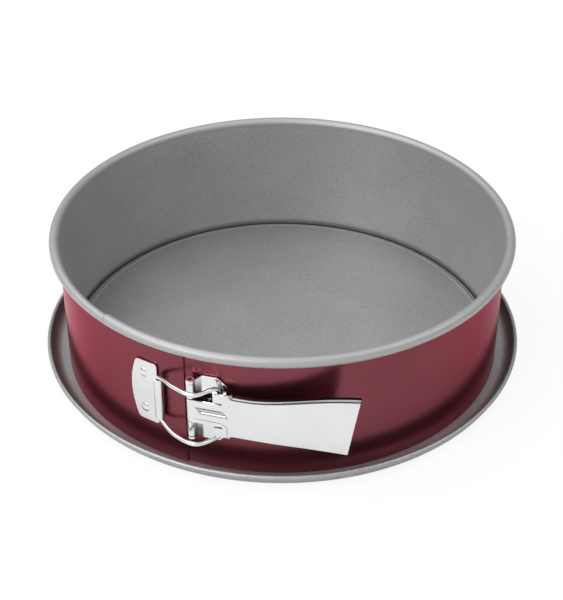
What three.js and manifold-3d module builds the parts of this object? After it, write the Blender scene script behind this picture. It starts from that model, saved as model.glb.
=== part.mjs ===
// Springform cake pan: a sprung sheet-steel band with a rolled rim, closed by an over-centre lever
// clasp around a base plate that has a raised floor, a drip channel and a rolled bead.
// Millimetres, +Z up. The origin is on the pan's axis, at the underside of the base plate.

import * as THREE from 'three';
import { mergeVertices } from 'three/addons/utils/BufferGeometryUtils.js';
import Module from 'manifold-3d';

const wasm = await Module();
wasm.setup();

// Band
const INNER_DIAMETER = 240;
const BAND_SHEET = 0.6;
const BAND_HEIGHT = 73.5;
const RIM_ROLL_DIAMETER = 5.7;
const RIM_ROLL_SWEEP = 300;
const RIM_CROWN_SHARE = 0.5;
const RIM_SHOULDER = 3.4;
const RIM_ROLL_LAP_DIAMETER = 4.8;
const LAP_BLEND_LENGTH = 90;
const SEAM_ARC = 4;
const UNDERLAP_ARC = -41;
const FLEX_GAP = 0.6;

// Base plate
const BASE_SHEET = 1;
const FLOOR_RISE = 1.2;
const FLOOR_SHOULDER = 4.4;
const SHOULDER_RUN = 3;
const CHANNEL_WIDTH = 3.45;
const DRIP_WALL_RADIUS = 6.5;
const BASE_BEAD_DIAMETER = 2.4;

// Clasp position: angle round the pan from the -Y side, and height of its middle
const CLASP_ANGLE = -25;
const CLASP_HEIGHT = 39.3;
const CLASP_SHEET = 0.9;
const CLEARANCE = 0.3;

// Anchor plate, riveted to the end of the band that laps over
const ANCHOR_AXIS_ARC = -8.7;
const ANCHOR_LENGTH = 17.9;
const ANCHOR_HEIGHT = 36.6;
const ANCHOR_EDGE_BULGE = 3.8;
const ANCHOR_SHOULDER = 1.8;
const ANCHOR_KNUCKLE_HEIGHT = 24;
const ANCHOR_RIVET_OFFSET = 10.1;
const ANCHOR_RIVET_EDGE = 7.4;
const ANCHOR_CURL_SWEEP = 280;

// Rivets
const RIVET_SHANK = 2.4;
const RIVET_HEAD = 5;
const RIVET_HEAD_HEIGHT = 0.9;
const RIVET_HEAD_CHAMFER = 0.9;

// Hinge bracket and pin, on the end of the band that passes underneath
const PIN_ARC = 9;
const PIN_STANDOFF = 3.8;
const PIN_DIAMETER = 2;
const PIN_HEAD = 4.6;
const PIN_HEAD_HEIGHT = 1.7;
const PIN_DIMPLE = 2.4;
const PIN_DIMPLE_DEPTH = 1.2;
const BRACKET_HEIGHT = 38.4;
const BRACKET_KNUCKLE_HEIGHT = 32;
const BRACKET_FOOT_ARC = 13.8;
const BRACKET_FOOT_LENGTH = 12;
const BRACKET_CHAMFER = 4;
const BRACKET_RIVET_OFFSET = 6.2;
const BRACKET_RIVET_PITCH = 9;
const BRACKET_CURL_SWEEP = 285;

// Lever
const LEVER_TILT = 8.8;
const LEVER_LENGTH = 80.2;
const LEVER_DROP = 9.3;
const LEVER_NECK = 24;
const LEVER_WAIST = 38;
const LEVER_FLARE = 60.7;
const LEVER_BEND_IN = 24;
const LEVER_BEND_OUT = 26;
const LEVER_BEND_OUT_DROP = 3;
const LEVER_CURL_SWEEP = 250;
const LEVER_END_SLANT = 5.6;
const LEVER_CORNER = 0.9;
const TONGUE_WIDTH = 14;
const EAR_START = 12;
const EAR_END = 21;
const EAR_WIDTH = 26;
const EAR_CORNER = 1.2;
const EAR_SLOT_LENGTH = 4.4;
const EAR_SLOT_WIDTH = 0.8;
const NECK_WIDTH = 24;
const WAIST_WIDTH = 24.5;
const FLARE_WIDTH = 30;
const GRIP_WIDTH = 34;
const EDGE_RETURN = 2.7;

// Bail wire
const WIRE_DIAMETER = 2.3;
const HOOK_REACH = 14.2;
const HOOK_CLEARANCE = 1;
const HOOK_SETBACK = 0.6;
const HOOK_BEND = 2;
const BAIL_EAR_GAP = 1;
const BAIL_BOW = 7.2;
const BAIL_BOW_SHIFT = 5.8;
const BAIL_ARM_BOW = 2.3;
const BAIL_MOUTH_BEND = 2;
const BAIL_LEAVE = 4;

// Facets
const ARC_STEP = 4.5;
const ROLL_STEP = 30;
const CURL_STEP = 24;
const ROUND_SIDES = 20;
const WIRE_SIDES = 8;
const WIRE_STEPS = 72;
const LEVER_STEPS = 12;
const OUTLINE_STEPS = 6;
const MITRE_LIMIT = 0.5;

const innerRadius = INNER_DIAMETER / 2;
const outerRadius = innerRadius + BAND_SHEET;
const lapOffset = BAND_SHEET + CLEARANCE;
const bandBottom = BASE_SHEET + CLEARANCE;
const rimTop = bandBottom + BAND_HEIGHT;
const rollCentre = rimTop - RIM_ROLL_DIAMETER / 2;
const lapTop = rimTop - RIM_ROLL_DIAMETER - 2 * CLEARANCE;
const knuckleBore = PIN_DIAMETER / 2 + CLEARANCE;
const knuckleRadius = knuckleBore + CLASP_SHEET;
const anchorBore = WIRE_DIAMETER / 2 + CLEARANCE;
const anchorKnuckleRadius = anchorBore + CLASP_SHEET;
const anchorRivetPitch = ANCHOR_HEIGHT - 2 * ANCHOR_RIVET_EDGE;
const slotTop = TONGUE_WIDTH / 2 + EAR_SLOT_WIDTH;
const bailSpread = EAR_WIDTH / 2 + WIRE_DIAMETER / 2 + BAIL_EAR_GAP;
const cutNear = innerRadius / 2;
const cutFar = 2 * outerRadius;
const rad = THREE.MathUtils.degToRad;
const arcAngle = (arc) => THREE.MathUtils.radToDeg(arc / outerRadius);

const wineRed = { color: 0x7a2632, roughness: 0.25, metalness: 0.35 };
const nonStickGrey = { color: 0x76797a, roughness: 0.45, metalness: 0.6 };
const brightTin = { color: 0xdcdcdc, roughness: 0.18, metalness: 1 };

// Solids: a closed geometry becomes a solid for joining and cutting, and comes back as a geometry
function toSolid(geometry) {
  const bare = geometry.clone();
  bare.deleteAttribute('normal');
  bare.deleteAttribute('uv');
  const merged = mergeVertices(bare, 1e-4);
  const vertProperties = new Float32Array(merged.attributes.position.array);
  const triVerts = new Uint32Array(merged.index.array);
  return new wasm.Manifold(new wasm.Mesh({ numProp: 3, vertProperties, triVerts }));
}

function toGeometry(solid) {
  const mesh = solid.getMesh();
  const geometry = new THREE.BufferGeometry();
  geometry.setAttribute('position', new THREE.BufferAttribute(new Float32Array(mesh.vertProperties), 3));
  geometry.setIndex(new THREE.BufferAttribute(new Uint32Array(mesh.triVerts), 1));
  geometry.computeVertexNormals();
  return geometry;
}

function node(name, geometry, finish) {
  const mesh = new THREE.Mesh(geometry, new THREE.MeshStandardMaterial(finish));
  mesh.name = name;
  return mesh;
}

// A point at a radius and an angle from the -Y side, in plan
function polar(radius, degrees) {
  return new THREE.Vector2(radius * Math.sin(rad(degrees)), -radius * Math.cos(rad(degrees)));
}

// Points on a circle from one angle to another, both included
function arcPoints(centre, radius, from, to, step) {
  const count = Math.max(1, Math.ceil(Math.abs(to - from) / step));
  const points = [];
  for (let i = 0; i <= count; i += 1) {
    const angle = rad(from + ((to - from) * i) / count);
    const x = centre.x + radius * Math.cos(angle);
    const y = centre.y + radius * Math.sin(angle);
    points.push(new THREE.Vector2(x, y));
  }
  return points;
}

// Points on an upright oval from one angle to another, both included
function ovalPoints(x, y, halfWidth, halfHeight, from, to) {
  const stretch = (point) => new THREE.Vector2(x + halfWidth * point.x, y + halfHeight * point.y);
  return arcPoints(new THREE.Vector2(), 1, from, to, ROLL_STEP).map(stretch);
}

// A section in radius and height is carried round the pan's axis through a list of angles, with capped ends
function sweepRound(angles, sectionAt) {
  const sections = angles.map(sectionAt);
  const count = sections[0].length;
  const positions = [];
  const indices = [];
  sections.forEach((section, i) => {
    for (const point of section) {
      const plan = polar(point.x, angles[i]);
      positions.push(plan.x, plan.y, point.y);
    }
  });
  for (let i = 0; i + 1 < sections.length; i += 1) {
    for (let j = 0; j < count; j += 1) {
      const a = i * count + j;
      const b = i * count + ((j + 1) % count);
      indices.push(b, a, a + count);
      indices.push(b, a + count, b + count);
    }
  }
  const last = (sections.length - 1) * count;
  for (const [a, b, c] of THREE.ShapeUtils.triangulateShape(sections[0], [])) {
    indices.push(a, b, c);
  }
  for (const [a, b, c] of THREE.ShapeUtils.triangulateShape(sections[sections.length - 1], [])) {
    indices.push(last + a, last + c, last + b);
  }
  const geometry = new THREE.BufferGeometry();
  geometry.setAttribute('position', new THREE.Float32BufferAttribute(positions, 3));
  geometry.setIndex(indices);
  return geometry;
}

function angleList(from, to) {
  const count = Math.ceil((to - from) / ARC_STEP);
  return Array.from({ length: count + 1 }, (_, i) => from + ((to - from) * i) / count);
}

// The outline of a bent sheet strip: a plan path thickened evenly to both sides
function ribbonShape(path, thickness) {
  const left = [];
  const right = [];
  path.forEach((point, i) => {
    const before = path[Math.max(i - 1, 0)];
    const after = path[Math.min(i + 1, path.length - 1)];
    const inward = point.clone().sub(before).normalize();
    const outward = after.clone().sub(point).normalize();
    const along = inward.clone().add(outward).normalize();
    const reference = i > 0 ? inward : outward;
    const across = new THREE.Vector2(-along.y, along.x);
    const stretch = thickness / 2 / Math.max(along.dot(reference), MITRE_LIMIT);
    left.push(point.clone().addScaledVector(across, stretch));
    right.push(point.clone().addScaledVector(across, -stretch));
  });
  return new THREE.Shape([...left, ...right.reverse()]);
}

// An upright prism, centred on the clasp's middle height
function uprightPrism(shape, height) {
  const geometry = new THREE.ExtrudeGeometry(shape, { depth: height, bevelEnabled: false });
  return toSolid(geometry.translate(0, 0, -height / 2));
}

// A prism whose outline is seen from the front: the shape's X and Y become X and Z
function frontPrism(shape, from, to) {
  const settings = { depth: to - from, bevelEnabled: false, curveSegments: OUTLINE_STEPS };
  const geometry = new THREE.ExtrudeGeometry(shape, settings);
  return toSolid(geometry.rotateX(Math.PI / 2).translate(0, -from, 0));
}

// A round bar along the radial direction at an angle and a height
function radialBar(radius, from, to, degrees, height) {
  const geometry = new THREE.CylinderGeometry(radius, radius, to - from, ROUND_SIDES);
  geometry.translate(0, -(from + to) / 2, 0);
  geometry.rotateZ(rad(degrees));
  geometry.translate(0, 0, height);
  return toSolid(geometry);
}

// Base plate: floor disc, shoulder, drip channel, hollow drip wall and rolled bead, turned about the axis
function basePlate() {
  const channelEnd = outerRadius + CHANNEL_WIDTH;
  const wallCentre = new THREE.Vector2(channelEnd, BASE_SHEET + DRIP_WALL_RADIUS);
  const bead = BASE_BEAD_DIAMETER / 2;
  const reach = DRIP_WALL_RADIUS + bead - BASE_SHEET / 2;
  const beadCentre = wallCentre.clone().add(new THREE.Vector2(reach, 0));
  const meet = (wallRadius) => {
    const onWall = (wallRadius ** 2 + reach ** 2 - bead ** 2) / (2 * wallRadius * reach);
    const onBead = (bead ** 2 + reach ** 2 - wallRadius ** 2) / (2 * bead * reach);
    return {
      wall: -THREE.MathUtils.radToDeg(Math.acos(onWall)),
      bead: 180 + THREE.MathUtils.radToDeg(Math.acos(onBead)),
    };
  };
  const above = meet(DRIP_WALL_RADIUS);
  const below = meet(DRIP_WALL_RADIUS + BASE_SHEET);
  const shoulder = innerRadius - FLOOR_SHOULDER;
  const floorTop = BASE_SHEET + FLOOR_RISE;
  const profile = [
    new THREE.Vector2(0, FLOOR_RISE),
    new THREE.Vector2(shoulder, FLOOR_RISE),
    new THREE.Vector2(shoulder + SHOULDER_RUN, 0),
    ...arcPoints(wallCentre, DRIP_WALL_RADIUS + BASE_SHEET, -90, below.wall, CURL_STEP),
    ...arcPoints(beadCentre, bead, below.bead - 360, above.bead, ROLL_STEP),
    ...arcPoints(wallCentre, DRIP_WALL_RADIUS, above.wall, -90, CURL_STEP).slice(1),
    new THREE.Vector2(shoulder + SHOULDER_RUN, BASE_SHEET),
    new THREE.Vector2(shoulder, floorTop),
    new THREE.Vector2(0, floorTop),
  ];
  const geometry = new THREE.LatheGeometry(profile, 360 / ARC_STEP).rotateX(Math.PI / 2);
  return node('base_plate', geometry, nonStickGrey);
}

// Section of the band: a plain wall that leans out to a crown and is rolled down outside it into the rim
function bandSection(wallRadius, rollDiameter) {
  const roll = rollDiameter / 2;
  const inside = RIM_CROWN_SHARE * rollDiameter;
  const crown = wallRadius + inside;
  const shoulder = rollCentre + roll - RIM_SHOULDER;
  const end = 180 - RIM_ROLL_SWEEP;
  const curve = (inset) => [
    ...ovalPoints(crown, shoulder, inside - inset, RIM_SHOULDER - inset, 180, 90),
    ...ovalPoints(crown, rollCentre, rollDiameter - inside - inset, roll - inset, 90, end).slice(1),
  ];
  return [
    new THREE.Vector2(wallRadius, bandBottom),
    new THREE.Vector2(wallRadius + BAND_SHEET, bandBottom),
    ...curve(BAND_SHEET),
    ...curve(0).reverse(),
  ];
}

const flexAngle = CLASP_ANGLE + 180;
const flexHalfGap = arcAngle(FLEX_GAP) / 2;
const seamAngle = CLASP_ANGLE + arcAngle(SEAM_ARC);
const underlapAngle = CLASP_ANGLE + arcAngle(UNDERLAP_ARC);
const anchorAngle = CLASP_ANGLE + arcAngle(ANCHOR_AXIS_ARC - ANCHOR_RIVET_OFFSET);
const bracketAngle = CLASP_ANGLE + arcAngle(BRACKET_FOOT_ARC + BRACKET_RIVET_OFFSET);

// Drilled holes for a pair of rivets, at an angle, above and below a middle height
function rivetHoles(degrees, pitch, middle) {
  const radius = RIVET_SHANK / 2 + CLEARANCE;
  const upper = radialBar(radius, cutNear, cutFar, degrees, middle + pitch / 2);
  return upper.add(radialBar(radius, cutNear, cutFar, degrees, middle - pitch / 2));
}

// Band end that passes underneath at the clasp and carries the hinge bracket
function bandRight() {
  const angles = angleList(underlapAngle, flexAngle - flexHalfGap);
  const strip = toSolid(sweepRound(angles, () => bandSection(innerRadius, RIM_ROLL_DIAMETER)));
  const drilled = strip.subtract(rivetHoles(bracketAngle, BRACKET_RIVET_PITCH, CLASP_HEIGHT));
  return node('band_right', toGeometry(drilled), wineRed);
}

// Band end that laps over the other one: it moves out by one sheet on its way, and its rim stops at the lap
function bandLeft() {
  const lapStart = underlapAngle - arcAngle(LAP_BLEND_LENGTH);
  const sectionAt = (angle) => {
    const share = THREE.MathUtils.smoothstep(angle, lapStart, underlapAngle - ARC_STEP / 2);
    const roll = THREE.MathUtils.lerp(RIM_ROLL_DIAMETER, RIM_ROLL_LAP_DIAMETER, share);
    return bandSection(innerRadius + lapOffset * share, roll);
  };
  const angles = angleList(flexAngle + flexHalfGap - 360, seamAngle);
  const strip = toSolid(sweepRound(angles, sectionAt));
  const rimCut = () => [
    new THREE.Vector2(cutNear, lapTop),
    new THREE.Vector2(cutFar, lapTop),
    new THREE.Vector2(cutFar, 2 * rimTop),
    new THREE.Vector2(cutNear, 2 * rimTop),
  ];
  const cutAngles = angleList(underlapAngle - arcAngle(2 * CLEARANCE), seamAngle + ARC_STEP);
  const lapped = strip.subtract(toSolid(sweepRound(cutAngles, rimCut)));
  const drilled = lapped.subtract(rivetHoles(anchorAngle, anchorRivetPitch, CLASP_HEIGHT));
  return node('band_left', toGeometry(drilled), wineRed);
}

// Clasp frame: -Y points out of the band at the clasp, +X along it, and Z is zero at the clasp's middle
const anchorSeat = outerRadius + lapOffset + CLEARANCE;
const anchorAxis = polar(anchorSeat + anchorKnuckleRadius, arcAngle(ANCHOR_AXIS_ARC));
const bracketSeat = outerRadius + CLEARANCE;
const pinAxis = new THREE.Vector2(PIN_ARC, -(outerRadius + PIN_STANDOFF));
const hookInLever = new THREE.Vector2(
  HOOK_REACH,
  CLASP_SHEET + HOOK_CLEARANCE + WIRE_DIAMETER / 2 - knuckleRadius,
);
const hookAxis = hookInLever.clone().rotateAround(new THREE.Vector2(), rad(LEVER_TILT)).add(pinAxis);

// Points along an arc about the pan's axis, between two arc lengths from the clasp's middle
function bandArc(radius, fromArc, toArc) {
  return arcPoints(new THREE.Vector2(), radius, arcAngle(fromArc) - 90, arcAngle(toArc) - 90, ARC_STEP / 2);
}

// Anchor plate: lies on the band, has a bowed free edge, and curls outwards round the bail
function anchorPlate() {
  const facing = arcAngle(ANCHOR_AXIS_ARC) + 90;
  const curl = anchorKnuckleRadius - CLASP_SHEET / 2;
  const path = [
    ...bandArc(anchorSeat + CLASP_SHEET / 2, ANCHOR_AXIS_ARC - 1.5 * ANCHOR_LENGTH, ANCHOR_AXIS_ARC),
    ...arcPoints(anchorAxis, curl, facing, facing - ANCHOR_CURL_SWEEP, CURL_STEP).slice(1),
  ];
  const sheet = uprightPrism(ribbonShape(path, CLASP_SHEET), 2 * ANCHOR_HEIGHT);
  const edge = anchorAxis.x - ANCHOR_LENGTH + ANCHOR_EDGE_BULGE;
  const shoulder = anchorAxis.x - ANCHOR_SHOULDER;
  const end = anchorAxis.x + 2 * anchorKnuckleRadius;
  const top = ANCHOR_HEIGHT / 2;
  const knuckle = ANCHOR_KNUCKLE_HEIGHT / 2;
  const outline = new THREE.Shape();
  outline.moveTo(edge, -top);
  outline.lineTo(shoulder, -top);
  outline.lineTo(shoulder, -knuckle);
  outline.lineTo(end, -knuckle);
  outline.lineTo(end, knuckle);
  outline.lineTo(shoulder, knuckle);
  outline.lineTo(shoulder, top);
  outline.lineTo(edge, top);
  outline.quadraticCurveTo(edge - 2 * ANCHOR_EDGE_BULGE, 0, edge, -top);
  const cut = sheet.intersect(frontPrism(outline, cutNear, cutFar));
  const holes = rivetHoles(anchorAngle - CLASP_ANGLE, anchorRivetPitch, 0);
  return node('anchor_plate', toGeometry(cut.subtract(holes)), brightTin);
}

// Hinge bracket: a foot on the band, a web out to the pin and a curl round it, open in the middle
// for the lever's tongue
function hingeBracket() {
  const curl = knuckleRadius - CLASP_SHEET / 2;
  const foot = bandArc(
    bracketSeat + CLASP_SHEET / 2,
    BRACKET_FOOT_ARC + BRACKET_FOOT_LENGTH,
    BRACKET_FOOT_ARC,
  );
  const bend = foot[foot.length - 1];
  const toPin = pinAxis.clone().sub(bend);
  const lean = Math.asin(curl / toPin.length());
  const start = THREE.MathUtils.radToDeg(toPin.angle() - lean) - 90;
  const path = [...foot, ...arcPoints(pinAxis, curl, start, start + BRACKET_CURL_SWEEP, CURL_STEP)];
  const sheet = uprightPrism(ribbonShape(path, CLASP_SHEET), BRACKET_HEIGHT);
  const top = BRACKET_HEIGHT / 2;
  const knuckle = BRACKET_KNUCKLE_HEIGHT / 2;
  const window = TONGUE_WIDTH / 2 + CLEARANCE;
  const left = pinAxis.x - 2 * knuckleRadius;
  const web = pinAxis.x + knuckleRadius;
  const end = foot[0].x + CLASP_SHEET;
  const outline = new THREE.Shape();
  outline.moveTo(left, window);
  outline.lineTo(bend.x, window);
  outline.lineTo(bend.x, -window);
  outline.lineTo(left, -window);
  outline.lineTo(left, -knuckle);
  outline.lineTo(web, -knuckle);
  outline.lineTo(bend.x, -top);
  outline.lineTo(end - BRACKET_CHAMFER, -top);
  outline.lineTo(end, BRACKET_CHAMFER - top);
  outline.lineTo(end, top - BRACKET_CHAMFER);
  outline.lineTo(end - BRACKET_CHAMFER, top);
  outline.lineTo(bend.x, top);
  outline.lineTo(web, knuckle);
  outline.lineTo(left, knuckle);
  const cut = sheet.intersect(frontPrism(outline, cutNear, cutFar));
  const holes = rivetHoles(bracketAngle - CLASP_ANGLE, BRACKET_RIVET_PITCH, 0);
  return node('hinge_bracket', toGeometry(cut.subtract(holes)), brightTin);
}

// Rivet: chamfered head outside, shank ending flush with the inside of the band
function rivet(name, seat, wall, degrees, height) {
  const head = RIVET_HEAD / 2;
  const shank = RIVET_SHANK / 2;
  const under = seat + CLASP_SHEET + CLEARANCE;
  const profile = [
    new THREE.Vector2(0, -wall),
    new THREE.Vector2(shank, -wall),
    new THREE.Vector2(shank, -under),
    new THREE.Vector2(head, -under),
    new THREE.Vector2(head - RIVET_HEAD_CHAMFER, -under - RIVET_HEAD_HEIGHT),
    new THREE.Vector2(0, -under - RIVET_HEAD_HEIGHT),
  ];
  const mesh = node(name, new THREE.LatheGeometry(profile.reverse(), ROUND_SIDES), brightTin);
  mesh.rotation.z = rad(degrees);
  mesh.position.z = height;
  return mesh;
}

// Hinge pin: a plain pin with a peened head at each end, just outside the bracket's knuckles
function hingePin() {
  const shank = PIN_DIAMETER / 2;
  const head = PIN_HEAD / 2;
  const seat = BRACKET_KNUCKLE_HEIGHT / 2 + CLEARANCE;
  const end = seat + PIN_HEAD_HEIGHT;
  const dimple = PIN_DIMPLE / 2;
  const hollow = end - PIN_DIMPLE_DEPTH;
  const profile = [
    new THREE.Vector2(0, -hollow),
    new THREE.Vector2(dimple, -hollow),
    new THREE.Vector2(dimple, -end),
    new THREE.Vector2(head, -end),
    new THREE.Vector2(head, -seat),
    new THREE.Vector2(shank, -seat),
    new THREE.Vector2(shank, seat),
    new THREE.Vector2(head, seat),
    new THREE.Vector2(head, end),
    new THREE.Vector2(dimple, end),
    new THREE.Vector2(dimple, hollow),
    new THREE.Vector2(0, hollow),
  ];
  const geometry = new THREE.LatheGeometry(profile, ROUND_SIDES).rotateX(Math.PI / 2);
  const mesh = node('hinge_pin', geometry, brightTin);
  mesh.position.set(pinAxis.x, pinAxis.y, 0);
  return mesh;
}

// Lever front line in plan, in the lever's frame: straight past the ears, then an S towards the band
function leverFront() {
  const front = -knuckleRadius;
  const back = front + LEVER_DROP;
  return new THREE.CubicBezierCurve(
    new THREE.Vector2(LEVER_NECK, front),
    new THREE.Vector2(LEVER_NECK + LEVER_BEND_IN, front),
    new THREE.Vector2(LEVER_LENGTH - LEVER_BEND_OUT, back - LEVER_BEND_OUT_DROP),
    new THREE.Vector2(LEVER_LENGTH + LEVER_END_SLANT, back),
  );
}

// The same line moved towards the band by a depth
function leverLine(depth) {
  const curve = leverFront();
  return Array.from({ length: LEVER_STEPS + 1 }, (_, i) => {
    const tangent = curve.getTangent(i / LEVER_STEPS);
    const across = new THREE.Vector2(-tangent.y, tangent.x);
    return curve.getPoint(i / LEVER_STEPS).addScaledVector(across, depth);
  });
}

// Lever outline seen from the front: tongue, slotted ears, narrow neck, flared grip with a slanted end
function leverOutline(inset) {
  const tongue = TONGUE_WIDTH / 2;
  const ear = EAR_WIDTH / 2;
  const neck = NECK_WIDTH / 2 - inset;
  const slotEnd = EAR_START + EAR_SLOT_LENGTH;
  const start = -2 * knuckleRadius;
  const grip = GRIP_WIDTH / 2;
  const endAt = (z) => LEVER_LENGTH + (LEVER_END_SLANT * z) / GRIP_WIDTH + inset;
  const edge = (side) => [
    new THREE.Vector2(LEVER_NECK, side * neck),
    new THREE.Vector2(LEVER_WAIST, side * (WAIST_WIDTH / 2 - inset)),
    new THREE.Vector2(LEVER_FLARE, side * (FLARE_WIDTH / 2 - inset)),
    new THREE.Vector2(endAt(side * grip) - LEVER_CORNER, side * (grip - inset)),
  ];
  const outline = new THREE.Shape();
  if (inset > 0) {
    outline.moveTo(LEVER_NECK, neck);
  } else {
    outline.moveTo(start, -tongue);
    outline.lineTo(start, tongue);
    outline.lineTo(slotEnd, tongue);
    outline.lineTo(slotEnd, slotTop);
    outline.lineTo(EAR_START, slotTop);
    outline.lineTo(EAR_START, ear - EAR_CORNER);
    outline.quadraticCurveTo(EAR_START, ear, EAR_START + EAR_CORNER, ear);
    outline.lineTo(EAR_END, ear);
    outline.lineTo(LEVER_NECK, neck);
  }
  outline.splineThru(edge(1).slice(1));
  const upper = grip - inset - LEVER_CORNER;
  outline.quadraticCurveTo(endAt(grip), grip - inset, endAt(upper), upper);
  outline.lineTo(endAt(-upper), -upper);
  const lower = edge(-1);
  outline.quadraticCurveTo(endAt(-grip), inset - grip, lower[3].x, lower[3].y);
  outline.splineThru(lower.slice(0, 3).reverse());
  if (inset === 0) {
    outline.lineTo(EAR_END, -ear);
    outline.lineTo(EAR_START + EAR_CORNER, -ear);
    outline.quadraticCurveTo(EAR_START, -ear, EAR_START, EAR_CORNER - ear);
    outline.lineTo(EAR_START, -slotTop);
    outline.lineTo(slotEnd, -slotTop);
    outline.lineTo(slotEnd, -tongue);
  }
  return outline;
}

// Lever: a sheet curled round the pin, cut to its outline, with the grip's long edges returned towards the band
function lever() {
  const curl = knuckleRadius - CLASP_SHEET / 2;
  const path = [
    ...arcPoints(new THREE.Vector2(), curl, 270 - LEVER_CURL_SWEEP, 270, CURL_STEP),
    ...leverLine(CLASP_SHEET / 2),
  ];
  const sheet = uprightPrism(ribbonShape(path, CLASP_SHEET), 2 * GRIP_WIDTH);
  const near = -2 * GRIP_WIDTH;
  const outline = frontPrism(leverOutline(0), near, -near);
  const plate = sheet.intersect(outline);
  const deep = uprightPrism(
    new THREE.Shape([...leverLine(CLASP_SHEET / 2), ...leverLine(EDGE_RETURN).reverse()]),
    2 * GRIP_WIDTH,
  );
  const inside = frontPrism(leverOutline(CLASP_SHEET), near, -near);
  const edges = deep.intersect(outline).subtract(inside);
  const mesh = node('lever', toGeometry(plate.add(edges)), brightTin);
  mesh.position.set(pinAxis.x, pinAxis.y, 0);
  mesh.rotation.z = rad(LEVER_TILT);
  return mesh;
}

// Bail: one bent wire, held in the anchor's curl, bowed out past the hinge pin and hooked behind
// the lever's ears
function bailWire() {
  const bow = pinAxis.clone().add(new THREE.Vector2(BAIL_BOW_SHIFT, -BAIL_BOW));
  const rise = anchorAxis.clone().add(bow).multiplyScalar(0.5);
  rise.y -= BAIL_ARM_BOW;
  const leave = rise.clone().sub(anchorAxis).setLength(BAIL_LEAVE).add(anchorAxis);
  const turn = bow.clone().sub(hookAxis).setLength(HOOK_BEND).add(hookAxis);
  const mouth = ANCHOR_KNUCKLE_HEIGHT / 2 + CLEARANCE;
  const upper = [
    [hookAxis, slotTop + HOOK_SETBACK],
    [hookAxis, bailSpread - HOOK_BEND],
    [turn, bailSpread],
    [bow, bailSpread],
    [rise, bailSpread],
    [leave, mouth + BAIL_MOUTH_BEND],
    [anchorAxis, mouth],
    [anchorAxis, mouth / 2],
  ];
  const half = upper.map(([plan, z]) => new THREE.Vector3(plan.x, plan.y, z));
  const mirrored = half.map((point) => new THREE.Vector3(point.x, point.y, -point.z)).reverse();
  const route = new THREE.CatmullRomCurve3([...half, ...mirrored]);
  const side = 360 / WIRE_SIDES;
  const section = new THREE.Shape(arcPoints(new THREE.Vector2(), WIRE_DIAMETER / 2, 0, 360 - side, side));
  const settings = { steps: WIRE_STEPS, extrudePath: route, bevelEnabled: false };
  return node('bail_wire', new THREE.ExtrudeGeometry(section, settings), brightTin);
}

const clasp = new THREE.Group();
clasp.rotation.z = rad(CLASP_ANGLE);
clasp.position.z = CLASP_HEIGHT;
clasp.add(anchorPlate(), hingeBracket(), hingePin(), lever(), bailWire());

for (const [place, side] of [['top', 1], ['bottom', -1]]) {
  const onAnchor = (side * anchorRivetPitch) / 2;
  const onBracket = (side * BRACKET_RIVET_PITCH) / 2;
  const lapWall = innerRadius + lapOffset + CLEARANCE / 2;
  const plainWall = innerRadius + CLEARANCE / 2;
  clasp.add(rivet(`anchor_rivet_${place}`, anchorSeat, lapWall, anchorAngle - CLASP_ANGLE, onAnchor));
  clasp.add(rivet(`bracket_rivet_${place}`, bracketSeat, plainWall, bracketAngle - CLASP_ANGLE, onBracket));
}

const pan = new THREE.Group();
pan.add(basePlate(), bandRight(), bandLeft(), clasp);

export default pan;
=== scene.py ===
"""Springform baking pan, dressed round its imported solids.

The scene is in metres, +Z up, with its origin on the pan's axis at the table.
"""
import math

import bpy
import numpy as np
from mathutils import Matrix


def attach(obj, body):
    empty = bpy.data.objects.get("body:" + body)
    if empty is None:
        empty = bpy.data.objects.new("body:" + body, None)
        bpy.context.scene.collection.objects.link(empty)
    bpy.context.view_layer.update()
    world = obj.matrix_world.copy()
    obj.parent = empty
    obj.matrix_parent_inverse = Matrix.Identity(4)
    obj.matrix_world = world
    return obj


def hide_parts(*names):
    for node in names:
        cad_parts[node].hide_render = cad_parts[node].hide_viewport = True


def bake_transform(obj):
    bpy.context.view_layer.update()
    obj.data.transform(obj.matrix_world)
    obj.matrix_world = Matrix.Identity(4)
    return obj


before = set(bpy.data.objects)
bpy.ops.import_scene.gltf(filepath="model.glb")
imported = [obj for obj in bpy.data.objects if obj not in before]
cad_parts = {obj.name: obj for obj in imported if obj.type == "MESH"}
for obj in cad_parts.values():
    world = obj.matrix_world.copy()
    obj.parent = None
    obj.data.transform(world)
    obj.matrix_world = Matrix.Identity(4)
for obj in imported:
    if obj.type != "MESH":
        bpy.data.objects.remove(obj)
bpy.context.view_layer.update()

MM = 0.001
SMALLEST_LENGTH = 1e-12
SMALLEST_STEP = 1e-9

# Points within half a micrometre are one point. The shift keeps round lengths off the edges of that grid.
WELDS_PER_METRE = 2e6
WELD_SHIFT = 0.4142

# Lengths from here on are in millimetres, and angles in degrees

# Band
WALL_INSIDE = 120.0
SHEET = 0.6
LINING = 0.3
OUTSIDE = WALL_INSIDE + SHEET
BAND_FOOT = 1.3
WALL_ROWS = 7
RIM_SHOULDER = 3.4
CROWN_SHARE = 0.5
ROLL_CENTRE = 71.95
ROLL_RADIUS = 2.85
ROLL_RADIUS_AT_LAP = 2.4
ROLL_RADIUS_NESTED = 1.6
ROLL_SWEEP = 300.0
ROLL_SWEEP_AT_LAP = 262.0
ROLL_SWEEP_BLEND = 12.0
SKIN_TOP = ROLL_CENTRE - 1.0
ANGLE_STEP = 1.5

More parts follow.
